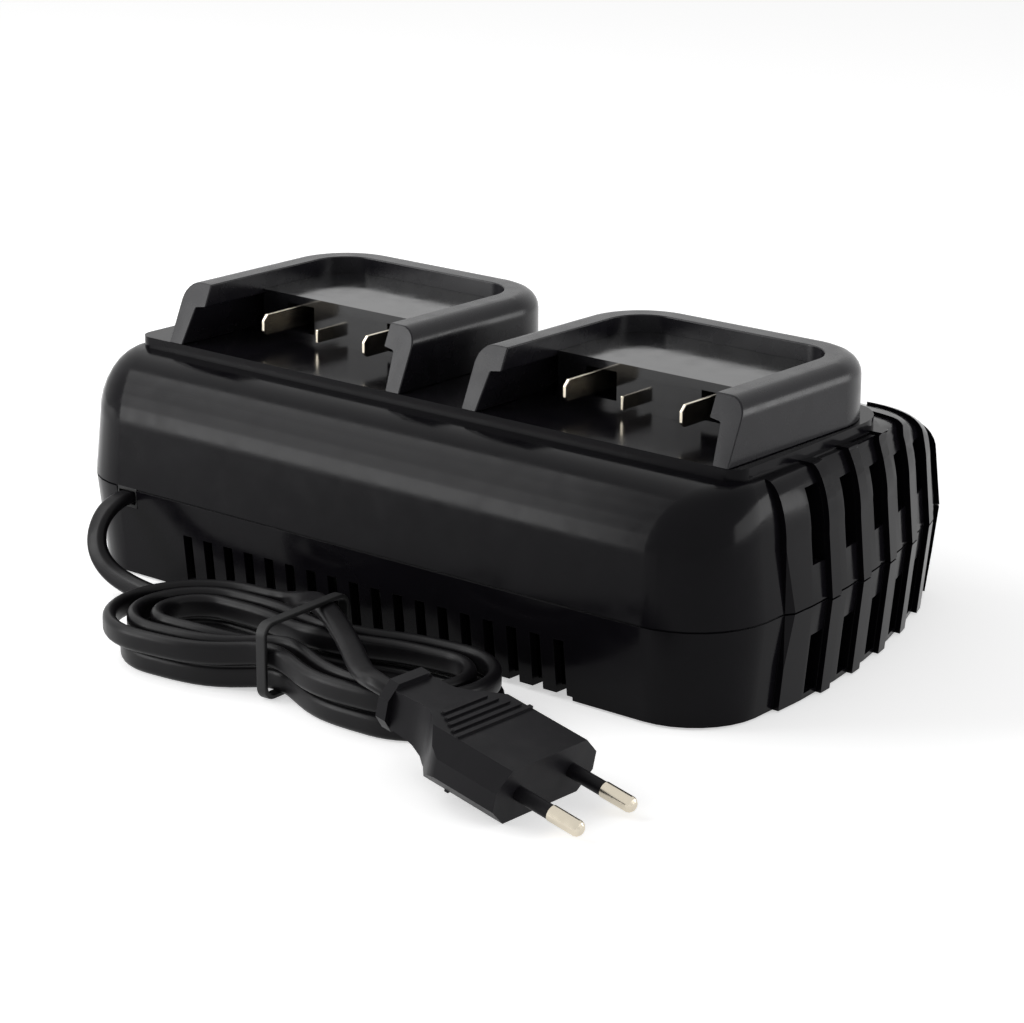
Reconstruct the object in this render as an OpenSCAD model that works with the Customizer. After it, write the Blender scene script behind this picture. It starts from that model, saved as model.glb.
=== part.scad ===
// Two-bay battery charger with a tied flat mains lead. Millimetres, +Z up, bays open to -Y.

/* [Housing] */
// Width at the parting line
body_w = 224; // [214:1:236]
// Depth at the parting line
body_d = 138; // [132:1:150]
// Height of the parting line above the table
part_z = 26; // [22:0.5:30]
// Height of the crease where the curved top begins
crease_z = 42.5; // [38:0.5:46]
// Height of the top of the curved shoulder
shoulder_z = 59; // [55:0.5:63]
// Height that the flat deck stands above the shoulder
deck_rise = 3; // [2:0.5:4]
// Wall thickness of both shells
wall = 2.5; // [2:0.1:3]
// Plan radius of the two front corners
front_r = 22; // [16:1:26]
// Plan radius of the bowed ends
side_r = 254; // [220:1:300]
// Plan radius of the two rear corners
rear_r = 23; // [18:1:28]
// How far the lower wall draws in at the table
low_draft = 2.7; // [1.5:0.1:3.5]
// How far the upper wall draws in at the crease
up_draft = 1.6; // [1:0.1:2.5]

/* [Deck] */
// Distance from the end of the body to the deck
deck_side = 8.4; // [7.5:0.1:9]
// Distance from the front of the body to the deck
deck_front = 21; // [18:0.5:24]
// Distance from the rear of the body to the deck
deck_back = 45.5; // [42:0.5:48]

/* [Bays] */
// Distance of the middle between the bays from the middle of the body
bay_x = 5; // [3:0.5:6]
// Distance from the right end of the deck to a collar
deck_margin = 3.3; // [3:0.1:4]
// Width over one collar
collar_w = 84.6; // [82:0.2:85]
// Height of a collar above the deck
collar_h = 16.3; // [14:0.1:18]
// Clear width between the rail lips
lip_gap = 65.8; // [64:0.2:67]
// Clear width in the rail groove under the lips
groove_w = 72.6; // [71:0.2:74]
// Height of the rail groove above the deck
groove_h = 10.4; // [9:0.1:11.5]
// Outer corner radius of a collar in plan
collar_r = 20; // [16:0.5:21]
// Radius along a collar's outer top edge
collar_edge_r = 5; // [3:0.5:6]
// How far the arm fronts lean back
arm_lean = 7.4; // [4:0.2:9]

/* [Terminals] */
// Height of a terminal block
block_h = 11.7; // [10.5:0.1:12.5]
// Depth of a terminal block
block_d = 32.5; // [28:0.5:33]
// Distance between the two power blades
blade_gap = 37; // [32:0.5:40]
// Height of a power blade
blade_h = 5.7; // [5:0.1:6]
// Reach of a power blade in front of the block
blade_reach = 15; // [10:0.5:17]
// Thickness of the blades
blade_t = 0.9; // [0.6:0.1:1.2]
// Height of the blades above the deck
blade_z = 3.5; // [3:0.1:4]
// Offset of the signal blade from the middle of its bay
signal_x = -7; // [-9:0.5:-5]
// Reach of the signal blade in front of the block
signal_reach = 6; // [4:0.5:9]
// Height of the signal blade
signal_h = 3.6; // [3:0.1:5]

/* [Vents] */
// Number of slots low on the front wall
front_slots = 18; // [10:1:18]
// Distance between front slots
front_pitch = 7.6; // [6.5:0.1:7.8]
// Width of a front slot
front_slot_w = 3.3; // [2.5:0.1:4]
// Top of the front slots
front_slot_z = 16.2; // [12:0.2:18]
// Number of slots in each end, each with a raised rib behind it
end_slots = 6; // [4:1:6]
// Distance between end ribs
rib_pitch = 16.8; // [15:0.1:17]
// Width of an end rib
rib_w = 4.5; // [3:0.1:6]
// How far the end panel stands off the body
panel_rise = 1.8; // [1:0.1:2.5]
// How far the ribs stand off the end panel
rib_rise = 1.6; // [1:0.1:2.2]
// Width of a slot in the end panel
end_slot_w = 6.2; // [4:0.1:7]

/* [Feet and screws] */
// Diameter of a rubber foot
foot_d = 12; // [8:0.5:14]
// How far the feet stand below the base
foot_out = 0.6; // [0.4:0.1:1]
// Diameter of a housing screw
screw_d = 4; // [3:0.1:4.5]
// Outer diameter of the screw posts
post_d = 9; // [8:0.2:10]

/* [Circuit] */
// Distance from the end of the body to the circuit board
pcb_side = 35; // [35:0.5:39]
// Depth of the circuit board
pcb_d = 92; // [80:1:94]
// Thickness of the circuit board
pcb_t = 1.6; // [1.2:0.1:2]
// Height of the circuit board above the table
pcb_z = 12; // [10:0.5:14]
// Diameter of a board screw
pcb_screw_d = 3; // [2.5:0.1:3.5]

/* [Fan] */
// Side of the square fan frame
fan_w = 40; // [38:1:40]
// Thickness of the fan frame
fan_t = 15; // [12:1:15]
// Thinnest wall around the fan's opening
fan_rim = 1.5; // [1.2:0.1:3]
// Clear gap around the rotor blades
fan_gap = 1; // [0.6:0.1:2]
// Diameter of the rotor hub
hub_d = 16; // [14:0.5:18]
// Diameter of the rotor shaft
shaft_d = 3; // [2:0.1:4]
// Number of rotor blades
fan_blades = 7; // [5:1:9]

/* [Cord] */
// Width of the flat cord
cord_w = 6; // [5.4:0.1:6.4]
// Thickness of the flat cord
cord_t = 3.4; // [3:0.1:3.6]
// Number of loops in the hank
hank_loops = 5; // [3:1:5]
// Distance between neighbouring loops
hank_step = 4.3; // [4.2:0.1:4.6]
// Half of the straight run of a loop
hank_run = 36; // [32:1:37]
// End radius of the outermost loop
hank_r = 21; // [20.5:0.5:22]
// How far the loops are drawn in at the tie
hank_waist = 7.8; // [6:0.2:8]
// Thickness of the tie
tie_t = 1.2; // [0.8:0.1:1.4]
// Width of the tie
tie_w = 3; // [2:0.5:4]

/* [Plug] */
// Width of the plug face
plug_w = 35.3; // [34.6:0.1:36]
// Height of the plug face
plug_h = 13.7; // [13:0.1:14.4]
// Length of the plug from face to flange
plug_l = 45; // [42:0.5:50]
// Distance between the pins
pin_gap = 18.6; // [18:0.1:19.2]
// Length of the pins
pin_l = 19; // [18.5:0.1:19.5]
// Diameter of the bare pins
pin_d = 4; // [3.9:0.05:4.1]
// Length of the sleeves on the pins
sleeve_l = 10; // [9:0.1:11]
// Diameter of the sleeves
sleeve_d = 3.6; // [3.4:0.05:3.65]

/* [Hidden] */
eps = 0.01;
pcb_w = body_w - 2 * pcb_side;
deck_w = body_w - 2 * deck_side;
bay_pitch = deck_w - 2 * bay_x - 2 * deck_margin - collar_w;
bays = [bay_x - bay_pitch / 2, bay_x + bay_pitch / 2];
fan_bore = fan_w - 2 * fan_rim;
rotor_d = fan_bore - 2 * fan_gap;
deck_z = shoulder_z + deck_rise;
base_z = foot_out;
front_y = -body_d / 2;
deck_y0 = front_y + deck_front;
deck_y1 = body_d / 2 - deck_back;
seam = 0.5;
fit = 0.1;
plastic = [0.09, 0.09, 0.1];
metal = [0.75, 0.73, 0.68];

// ---- plan outlines ----
// Each outline is a list of points by outward direction: front corner, bowed end, rear corner.
n_corner = 8;
n_side = 6;
function arc(c, r, a0, a1, n) = [for (i = [0:n]) let (a = a0 + (a1 - a0) * i / n) c + r * [cos(a), sin(a)]];
function half_outline(w, y0, y1, r0, rs, r1) =
  let (s = (y1 - y0 - r0 - r1) / (rs - r1), a = asin(s))
  concat(
    arc([w - r0, y0 + r0], r0, -90, 0, n_corner),
    [for (i = [1:n_side]) let (b = a * i / n_side) [w - rs + rs * cos(b), y0 + r0 + rs * sin(b)]],
    [for (i = [1:n_corner]) let (b = a + (90 - a) * i / n_corner)
      [w - rs + (rs - r1) * cos(a) + r1 * cos(b), y0 + r0 + (rs - r1) * s + r1 * sin(b)]]);
function outline(w, y0, y1, r0, rs, r1) =
  let (h = half_outline(w, y0, y1, r0, rs, r1), n = len(h))
  concat(h, [for (i = [0:n - 1]) [-h[n - 1 - i][0], h[n - 1 - i][1]]]);
function body_ring(o) =
  outline(body_w / 2 + o, front_y - o, body_d / 2 + o, front_r + o, side_r + o, rear_r + o);
deck_r = 5;
deck_r2 = 15;
function deck_ring(o) =
  outline(deck_w / 2 + o, deck_y0 - o, deck_y1 + o, max(deck_r + o, 1.5), 600, max(deck_r2 + o, 1.5));
ring_n = 2 * (2 * n_corner + n_side + 1);
// Fullness of the shoulder: a quarter round in front, easing to a slope behind
function fullness(i) =
  let (h = ring_n / 2, k = i < h ? i : 2 * h - 1 - i, a = (k - n_corner) / n_side)
  2 - 0.55 * max(0, min(1, a));
function rise(t, p) = pow(1 - pow(1 - t, p), 1 / p);
function lift(r, z) = [for (p = r) [p[0], p[1], z]];
shoulder_n = 8;
function shoulder(o, top, i0) =
  let (a = body_ring(o - up_draft), b = deck_ring(o), n = len(a))
  [for (k = [i0:shoulder_n]) let (t = 1 - cos(90 * k / shoulder_n))
    [for (i = [0:n - 1]) let (q = a[i] * (1 - t) + b[i] * t)
      [q[0], q[1], crease_z + (top - crease_z) * rise(t, fullness(i))]]];
module loft(r) {
  n = len(r[0]);
  m = len(r);
  polyhedron(points = [for (k = r) each k], faces = concat(
    [[for (i = [0:n - 1]) i], [for (i = [n - 1:-1:0]) (m - 1) * n + i]],
    [for (k = [0:m - 2], i = [0:n - 1]) let (j = (i + 1) % n) [k * n + i, (k + 1) * n + i, (k + 1) * n + j]],
    [for (k = [0:m - 2], i = [0:n - 1]) let (j = (i + 1) % n) [k * n + i, (k + 1) * n + j, k * n + j]]));
}
// Skins of the two shells, o outside the plain body surface
module upper_skin(o, z0, top) {
  loft(concat([lift(body_ring(o), z0)], shoulder(o, top, 0)));
}
module lower_skin(o, z0, z1) {
  k = (z1 - base_z) / (part_z - base_z);
  k0 = (z0 - base_z) / (part_z - base_z);
  loft([lift(body_ring(o - low_draft * (1 - k0)), z0), lift(body_ring(o - low_draft * (1 - k)), z1)]);
}

// ---- places ----
post_x = body_w / 2 - 23;
post_y = body_d / 2 - 21;
exit_x = 25 - body_w / 2;
posts = [[exit_x + 7.5, 8 - post_y], [post_x, -post_y], [-post_x + 8, post_y - 2], [post_x - 8, post_y - 2]];
foot_x = body_w / 2 - 30;
foot_y = body_d / 2 - 15;
feet = [for (x = [-foot_x, foot_x], y = [-foot_y, foot_y - 3]) [x, y]];
foot_deep = 1.2;
pcb_x = bay_x - 2;
pcb_y = -2;
pcb_posts = [for (x = [-1, 1], y = [-1, 1]) [pcb_x + x * (pcb_w / 2 - 5), pcb_y + y * (pcb_d / 2 - 5)]];
rib_y0 = front_y + 49.4;
panel_x = body_w / 2 - 47;
slot_x = body_w / 2 - 35;
panel_y0 = front_y + 29.8;
panel_y1 = rib_y0 + (end_slots - 1) * rib_pitch + rib_w / 2 + 0.4;
light_x = [for (x = bays, s = [-6, 6]) x + s];
light_y = deck_y1 + 9;
light_d = 5;
exit_w = cord_w + 1.6;
exit_h = cord_t + 2.4;
exit_z = part_z - exit_h / 2;
bushing_l = 9;
bushing_y = front_y + 6;
clamp_w = 12.4;
clamp_l = 8;
clamp_x0 = exit_x - 9.4;
clamp_y0 = front_y + 13;
fan_x = body_w / 2 - 27.5;
fan_y = -12;
fan_z = 28;

// ---- shells ----
module end_zone(x0, y0, y1) {
  for (s = [0, 1]) mirror([s, 0, 0]) linear_extrude(120) polygon([
    [x0, y0], [body_w / 2, y0], [body_w / 2 + 6, y0 + 9.6], [body_w / 2 + 6, y1], [x0, y1]]);
}
module rib_zone() {
  for (i = [0:end_slots - 1]) translate([-body_w / 2 - 8, rib_y0 + i * rib_pitch - rib_w / 2, 0])
    cube([body_w + 16, rib_w, 120]);
}
module end_openings(z0, z1, fall) {
  for (i = [0:end_slots - 1], s = [0, 1]) mirror([s, 0, 0])
    translate([slot_x, rib_y0 + i * rib_pitch - rib_w / 2 - end_slot_w - 0.2, z0])
      cube([50, end_slot_w, z1 - z0 - fall * i]);
}
module front_vents() {
  x0 = -(front_slots - 1) * front_pitch / 2 - front_slot_w / 2;
  for (i = [0:front_slots - 1]) translate([x0 + i * front_pitch, front_y - 3, base_z + 1])
    cube([front_slot_w, wall + 9, front_slot_z - base_z - 1]);
}
module upper_shell() {
  color(plastic) difference() {
    union() {
      upper_skin(0, part_z, shoulder_z);
      translate([0, 0, shoulder_z - 1]) linear_extrude(deck_rise + 1) polygon(deck_ring(-0.4));
      intersection() {
        upper_skin(panel_rise, part_z, shoulder_z - 0.3);
        end_zone(panel_x, panel_y0, panel_y1);
      }
      intersection() {
        upper_skin(panel_rise + rib_rise, part_z, shoulder_z + 0.25);
        rib_zone();
        end_zone(slot_x, panel_y0, panel_y1);
      }
    }
    difference() {
      upper_skin(-wall, part_z - 1, shoulder_z - wall);
      for (p = posts) translate([p[0], p[1], 0]) cylinder(d = post_d, h = 80, $fn = 32);
    }
    translate([0, 0, shoulder_z - wall - 1]) linear_extrude(deck_rise + 1) polygon(deck_ring(-9));
    end_openings(part_z + 9.7, 54.8, 1.4);
    for (p = posts) translate([p[0], p[1], part_z - 5])
      cylinder(d = screw_d - 1, h = 22, $fn = 24);
    for (x = light_x) translate([x, light_y, 30]) cylinder(d = light_d + 2 * fit, h = 50, $fn = 32);
    for (x = bays) translate([x, 0, 0]) contact_holes();
  }
}
module contact_holes() {
  for (x = [-blade_gap / 2, blade_gap / 2]) translate([x - 2, block_y0 + 13.5, deck_z - 20]) cube([4, 4, 30]);
}
module lower_shell() {
  color(plastic) difference() {
    union() {
      difference() {
        union() {
          lower_skin(0, base_z, part_z - seam);
          lower_skin(-0.6, base_z + 1, part_z);
          intersection() {
            lower_skin(panel_rise, base_z, part_z - seam);
            end_zone(panel_x, panel_y0, panel_y1);
          }
          intersection() {
            lower_skin(panel_rise + rib_rise, base_z, part_z - seam);
            rib_zone();
            end_zone(slot_x, panel_y0, panel_y1);
          }
        }
        lower_skin(-wall, base_z + wall, part_z + 5);
        end_openings(base_z + 1.5, part_z - 8.3, 0);
        front_vents();
      }
      for (p = posts) translate([p[0], p[1], base_z + 1])
        cylinder(d = post_d, h = part_z - base_z - 1, $fn = 32);
      for (p = pcb_posts) translate([p[0], p[1], base_z + 1])
        cylinder(d = 7, h = pcb_z - base_z - 1, $fn = 32);
      for (p = feet) translate([p[0], p[1], base_z + 0.5])
        cylinder(d = foot_d + 4, h = foot_deep + 2, $fn = 40);
      translate([fan_x - 2.2, fan_y - fan_w / 2, base_z + 1])
        cube([fan_t + 2.2, fan_w, fan_z - fan_w / 2 - base_z - 1]);
      for (y = [-fan_w / 2 - 2.3, fan_w / 2 + 0.3]) translate([fan_x, fan_y + y, base_z + 1])
        cube([fan_t, 2, 20]);
      translate([clamp_x0, clamp_y0, base_z + 1])
        cube([clamp_w, clamp_l + 2, exit_z - cord_t / 2 - base_z - 1]);
    }
    for (p = posts) translate([p[0], p[1], 0]) {
      translate([0, 0, -1]) cylinder(d = 8, h = 12, $fn = 32);
      cylinder(d = screw_d + 0.4, h = part_z + 1, $fn = 24);
    }
    for (p = pcb_posts) translate([p[0], p[1], base_z + 2.5]) cylinder(d = pcb_screw_d, h = 30, $fn = 24);
    for (p = feet) translate([p[0], p[1], -1])
      cylinder(d = foot_d + 0.2, h = 1 + base_z + foot_deep, $fn = 40);
    translate([exit_x - exit_w / 2, bushing_y - 10, exit_z - exit_h / 2]) cube([exit_w, 16, exit_h + 1]);
    for (s = [-1, 1]) translate([-68, s * (body_d / 2 - 7) - 8, -1]) cube([136, 16, base_z + 2]);
  }
}

// ---- bays ----
// Section of a collar: foot, undercut rail groove, lip and rounded outer top edge
arm_x0 = collar_w / 2 - collar_r;
function collar_section() = concat(
  [[groove_w / 2 + 1.2 - arm_x0, 0], [collar_r, 0], [collar_r, collar_h - collar_edge_r]],
  [for (i = [1:6]) [collar_r - collar_edge_r * (1 - cos(15 * i)),
    collar_h - collar_edge_r * (1 - sin(15 * i))]],
  [[lip_gap / 2 - arm_x0, collar_h], [lip_gap / 2 - arm_x0, groove_h],
   [groove_w / 2 - arm_x0, groove_h - 0.5]]);
collar_back = deck_y1 - 2;
collar_yc = collar_back - collar_r;
module collar() {
  color(plastic) difference() {
    translate([0, 0, deck_z]) union() {
      for (s = [0, 1]) mirror([s, 0, 0]) {
        translate([arm_x0, collar_yc, 0]) rotate([90, 0, 0])
          linear_extrude(collar_yc - deck_y0) polygon(collar_section());
        translate([arm_x0, collar_yc, 0]) rotate_extrude(angle = 90, $fn = 64) polygon(collar_section());
      }
      translate([-arm_x0, collar_yc, 0]) rotate([90, 0, 90])
        linear_extrude(2 * arm_x0) polygon(collar_section());
    }
    translate([-60, deck_y0, deck_z]) rotate([-atan2(arm_lean, collar_h), 0, 0])
      translate([0, -20, -5]) cube([120, 20, 40]);
  }
}
module left_dock() { translate([bays[0], 0, 0]) collar(); }
module right_dock() { translate([bays[1], 0, 0]) collar(); }

block_y1 = collar_back - (collar_w - lip_gap) / 2 - fit;
block_y0 = block_y1 - block_d;
block_w = lip_gap - 2 * fit;
window_d = 11;
module power_blade(x) {
  translate([x - blade_t / 2, 0, deck_z + blade_z]) rotate([90, 0, 90]) linear_extrude(blade_t) polygon([
    [block_y0 - blade_reach + 1.2, 0], [block_y0 + window_d + 5, 0], [block_y0 + window_d + 5, blade_h],
    [block_y0 - blade_reach + 1.6, blade_h], [block_y0 - blade_reach, blade_h - 1.6],
    [block_y0 - blade_reach, 1.2]]);
}
module signal_blade() {
  translate([signal_x - blade_t / 2, block_y0 - signal_reach, deck_z + 1.6])
    cube([blade_t, signal_reach + 7, signal_h]);
}
module terminal_block() {
  color(plastic) difference() {
    union() {
      translate([-block_w / 2, block_y0, deck_z]) cube([block_w, collar_yc - block_y0, block_h]);
      translate([-arm_x0, block_y0, deck_z]) cube([2 * arm_x0, block_d, block_h]);
      for (s = [-1, 1]) translate([s * arm_x0, collar_yc, deck_z])
        cylinder(r = block_w / 2 - arm_x0, h = block_h, $fn = 64);
    }
    for (x = [-blade_gap / 2, blade_gap / 2]) translate([x - 5, block_y0 - 1, deck_z + 1.6])
      cube([10, window_d + 1, block_h - 4]);
    for (x = [-blade_gap / 2, blade_gap / 2]) power_blade(x);
    signal_blade();
    for (x = [-blade_gap / 2, blade_gap / 2]) translate([x - 1.5, block_y0 + window_d + 3, deck_z - 1])
      cube([3, 2, blade_z + 1 + eps]);
  }
}
module left_terminal_block() { translate([bays[0], 0, 0]) terminal_block(); }
module right_terminal_block() { translate([bays[1], 0, 0]) terminal_block(); }
module power_blades() {
  color(metal) for (x = [-blade_gap / 2, blade_gap / 2]) power_blade(x);
}
module left_power_blades() { translate([bays[0], 0, 0]) power_blades(); }
module right_power_blades() { translate([bays[1], 0, 0]) power_blades(); }
module left_signal_blade() { color(metal) translate([bays[0], 0, 0]) signal_blade(); }
module right_signal_blade() { color(metal) translate([bays[1], 0, 0]) signal_blade(); }

// ---- small housing parts ----
module status_lights() {
  color([0.7, 0.85, 0.75]) for (x = light_x) translate([x, light_y, 0]) {
    translate([0, 0, shoulder_z - wall - 8]) cylinder(d = light_d, h = wall + 7.4, $fn = 32);
    translate([0, 0, shoulder_z - wall - 8]) cylinder(d = light_d + 1.6, h = 2, $fn = 32);
  }
}
module housing_screws() {
  color(metal) for (p = posts) translate([p[0], p[1], 0]) difference() {
    union() {
      translate([0, 0, 8]) cylinder(d = 7.4, h = 3, $fn = 32);
      translate([0, 0, 10]) cylinder(d = screw_d, h = part_z - 10, $fn = 24);
      translate([0, 0, part_z - 1]) cylinder(d = screw_d - 1.1, h = 14, $fn = 24);
    }
    for (a = [0, 90]) rotate([0, 0, a]) translate([-2.2, -0.5, 7]) cube([4.4, 1, 2.6]);
  }
}
module rubber_feet() {
  color([0.05, 0.05, 0.05]) for (p = feet) translate([p[0], p[1], 0])
    cylinder(d = foot_d, h = foot_out + foot_deep, $fn = 40);
}

// ---- circuit ----
pcb_top = pcb_z + pcb_t;
module main_pcb() {
  color([0.1, 0.35, 0.2]) difference() {
    translate([pcb_x - pcb_w / 2, pcb_y - pcb_d / 2, pcb_z]) cube([pcb_w, pcb_d, pcb_t]);
    for (p = pcb_posts) translate([p[0], p[1], pcb_z - 1]) cylinder(d = pcb_screw_d + 0.4, h = 5, $fn = 24);
    for (p = posts) translate([p[0], p[1], pcb_z - 1]) cylinder(d = post_d + 1.6, h = 5, $fn = 32);
  }
}
module pcb_screws() {
  color(metal) for (p = pcb_posts) translate([p[0], p[1], 0]) {
    translate([0, 0, pcb_top]) cylinder(d = 5.5, h = 1.8, $fn = 24);
    translate([0, 0, pcb_z - 7]) cylinder(d = pcb_screw_d - 0.1, h = pcb_t + 7.5, $fn = 24);
  }
}
core_at = [bay_x - 8, -4];
core_leg = 12;
core_win = 8;
core_yoke = 7;
core_h = 34;
core_d = 16;
module transformer_core() {
  color([0.25, 0.24, 0.24]) translate([core_at[0], core_at[1], pcb_top]) difference() {
    translate([-core_leg - core_win, -core_d / 2, 0]) cube([2 * (core_leg + core_win), core_d, core_h]);
    for (s = [-1, 1]) translate([s * (core_leg + core_win) / 2 - core_win / 2, -core_d, core_yoke])
      cube([core_win, 2 * core_d, core_h - 2 * core_yoke]);
  }
}
module transformer_winding() {
  color([0.8, 0.65, 0.2]) translate([core_at[0], core_at[1], pcb_top + core_yoke + fit]) difference() {
    translate([-core_leg / 2 - core_win + 0.3, -core_d / 2 - 7, 0])
      cube([core_leg + 2 * core_win - 0.6, core_d + 14, core_h - 2 * core_yoke - 2 * fit]);
    translate([-core_leg / 2 - fit, -core_d / 2 - fit, -1])
      cube([core_leg + 2 * fit, core_d + 2 * fit, core_h]);
  }
}
module heat_sink(x, l) {
  translate([x, pcb_y - l / 2, pcb_top]) {
    cube([2.5, l, 32]);
    for (i = [0:4]) translate([2, 0, 2 + i * 7]) cube([7.5, l, 1.8]);
  }
}
module heat_sinks() {
  color([0.7, 0.71, 0.73]) {
    heat_sink(bay_x + 17, 62);
    heat_sink(bays[1] - 9, 62);
  }
}
cap_at = [for (y = [-26, 2]) [bays[0] - 1, y]];
module bulk_capacitors() {
  color([0.12, 0.14, 0.3]) for (p = cap_at) translate([p[0], p[1], pcb_top]) rotate_extrude($fn = 48)
    polygon([[0, 0], [8.5, 0], [9, 0.6], [9, 3], [8.5, 3.6], [9, 4.2], [9, 33], [8.4, 33.8], [0, 33.8]]);
}
module mains_choke() {
  color([0.65, 0.4, 0.2]) translate([bays[0] - 3, 28, pcb_top + 11]) rotate([90, 0, 0])
    rotate_extrude($fn = 48) translate([7.5, 0]) circle(r = 3.5, $fn = 24);
}
module mains_fuse() {
  color([0.85, 0.85, 0.8]) translate([pcb_x - pcb_w / 2 + 11, -34, pcb_top + 2.6]) rotate([-90, 0, 0]) {
    cylinder(d = 4.6, h = 20, $fn = 32);
    for (z = [0, 15]) translate([0, 0, z]) cylinder(d = 5.2, h = 5, $fn = 32);
  }
}
wire_y = block_y0 + window_d + 4;
module contact_wires() {
  color([0.75, 0.1, 0.1]) for (x = bays, s = [-1, 1])
    translate([x + s * blade_gap / 2, wire_y, pcb_top])
      cylinder(d = 1.8, h = deck_z + blade_z - pcb_top, $fn = 20);
}

// ---- fan ----
module along_x() { rotate([0, 90, 0]) children(); }
seat_t = 3;
module fan_frame() {
  color([0.12, 0.12, 0.12]) translate([fan_x, fan_y, fan_z]) difference() {
    union() {
      difference() {
        translate([0, -fan_w / 2, -fan_w / 2]) cube([fan_t, fan_w, fan_w]);
        translate([-1, 0, 0]) along_x() cylinder(d = fan_bore, h = fan_t + 2, $fn = 64);
      }
      along_x() cylinder(d = hub_d + 2, h = seat_t, $fn = 48);
      for (a = [30, 150, 270]) rotate([a, 0, 0]) translate([0, -1.5, hub_d / 2 - 1])
        cube([seat_t, 3, fan_bore / 2 - hub_d / 2 + 2]);
    }
    translate([-1, 0, 0]) along_x() cylinder(d = shaft_d + 0.08, h = seat_t + 2, $fn = 32);
    for (y = [-1, 1], z = [-1, 1]) translate([-1, y * (fan_w / 2 - 3), z * (fan_w / 2 - 3)])
      along_x() cylinder(d = 3.2, h = fan_t + 2, $fn = 24);
  }
}
module fan_rotor() {
  color([0.16, 0.16, 0.17]) translate([fan_x, fan_y, fan_z]) along_x() {
    cylinder(d = shaft_d, h = seat_t + 2, $fn = 32);
    translate([0, 0, seat_t + 0.3]) cylinder(d = hub_d, h = fan_t - seat_t - 1.3, $fn = 48);
    intersection() {
      for (i = [0:fan_blades - 1]) rotate([0, 0, 360 * i / fan_blades])
        translate([hub_d / 2 - 1, 0, (seat_t + fan_t - 0.7) / 2]) rotate([50, 0, 0])
          translate([0, -0.8, -6]) cube([rotor_d / 2, 1.6, 12]);
      cylinder(d = rotor_d, h = fan_t, $fn = 64);
    }
  }
}

// ---- lead ----
// A smooth run through hand-chosen points; each point carries the direction of the cord's wide side
function cr(a, b, c, d, t) =
  0.5 * (2 * b + (c - a) * t + (2 * a - 5 * b + 4 * c - d) * t * t + (3 * b - a - 3 * c + d) * t * t * t);
function run(p, m) = let (n = len(p)) concat(
  [for (i = [0:n - 2], j = [0:m - 1])
    cr(p[max(i - 1, 0)], p[i], p[i + 1], p[min(i + 2, n - 1)], j / m)], [p[n - 1]]);
function unit(v) = v / norm(v);
function wide8(w, t) = [[w, t * 0.47], [w * 0.73, t], [-w * 0.73, t], [-w, t * 0.47],
  [-w, -t * 0.47], [-w * 0.73, -t], [w * 0.73, -t], [w, -t * 0.47]] / 2;
function wide6(w, t) = [[w, 0], [w * 0.62, t], [-w * 0.62, t], [-w, 0], [-w * 0.62, -t], [w * 0.62, -t]] / 2;
function round8(d) = [for (i = [0:7]) d / 2 * [cos(45 * i), sin(45 * i)]];
module sweep(c, w, sec) {
  n = len(c);
  m = len(sec);
  tan = [for (i = [0:n - 1]) unit(c[min(i + 1, n - 1)] - c[max(i - 1, 0)])];
  pts = [for (i = [0:n - 1]) let (u = unit(w[i] - (w[i] * tan[i]) * tan[i]), v = cross(tan[i], u))
    for (q = sec) c[i] + q[0] * u + q[1] * v];
  polyhedron(points = pts, faces = concat(
    [[for (k = [m - 1:-1:0]) k], [for (k = [0:m - 1]) (n - 1) * m + k]],
    [for (i = [0:n - 2], k = [0:m - 1]) let (j = (k + 1) % m, a = i * m) [a + k, a + j, a + m + j]],
    [for (i = [0:n - 2], k = [0:m - 1]) let (j = (k + 1) % m, a = i * m) [a + k, a + m + j, a + m + k]]));
}
function sum(v, i = 0) = i < len(v) ? v[i] + sum(v, i + 1) : 0;
function path_length(c) = sum([for (i = [1:len(c) - 1]) norm(c[i] - c[i - 1])]);

hank_at = [8, front_y - 30, 0];
hank_turn = 4;
// Steps by which the last loop ends outside the first
hank_out = 0.45;
layer_1 = cord_w / 2 + 0.1;
layer_2 = layer_1 + cord_w + 0.7;
function turned(v) = [
  v[0] * cos(hank_turn) - v[1] * sin(hank_turn),
  v[0] * sin(hank_turn) + v[1] * cos(hank_turn), v[2]];
function to_world(p) = hank_at + turned(p);
function drawn(x) = hank_waist * exp(-pow(x / 15, 2));
function smooth(t) = let (q = max(0, min(1, t))) q * q * (3 - 2 * q);
// Point of the hank after s loops: spiralling in along the table, then out again one layer up
function hank_point(s) =
  let (half = floor(hank_loops / 2) + 0.5, turn = half + 0.25,
    k = s < turn ? s : turn - (turn + hank_out) * (s - turn) / (hank_loops - turn),
    b = hank_r - hank_step * k, u = s - floor(s), q = (u * 4) % 1,
    p = u < 0.25 ? [-hank_run + 2 * hank_run * q, b]
      : u < 0.5 ? [hank_run + b * sin(180 * q), b * cos(180 * q)]
      : u < 0.75 ? [hank_run - 2 * hank_run * q, -b]
      : [-hank_run - b * sin(180 * q), -b * cos(180 * q)])
  [p[0], p[1] - sign(p[1]) * drawn(p[0]),
    layer_1 + (layer_2 - layer_1) * smooth((s - half - 0.03) * 5) + (tie_t + 0.2) * exp(-pow(p[0] / 10, 2))];
hank_end = hank_r + hank_step * hank_out;
hank_path = concat([to_world([-hank_run - cord_w, hank_r, layer_1])],
  [for (i = [0:24 * hank_loops]) to_world(hank_point(i / 24))],
  [to_world([cord_w - hank_run, hank_end, layer_2])]);
function seg_gap(p, a, b) = let (d = [b[0] - a[0], b[1] - a[1]], e = [p[0] - a[0], p[1] - a[1]],
  t = max(0, min(1, (d * e) / (d * d))))
  max(norm(e - t * d) - cord_t, abs(p[2] - a[2] - t * (b[2] - a[2])) - cord_w);
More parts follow.
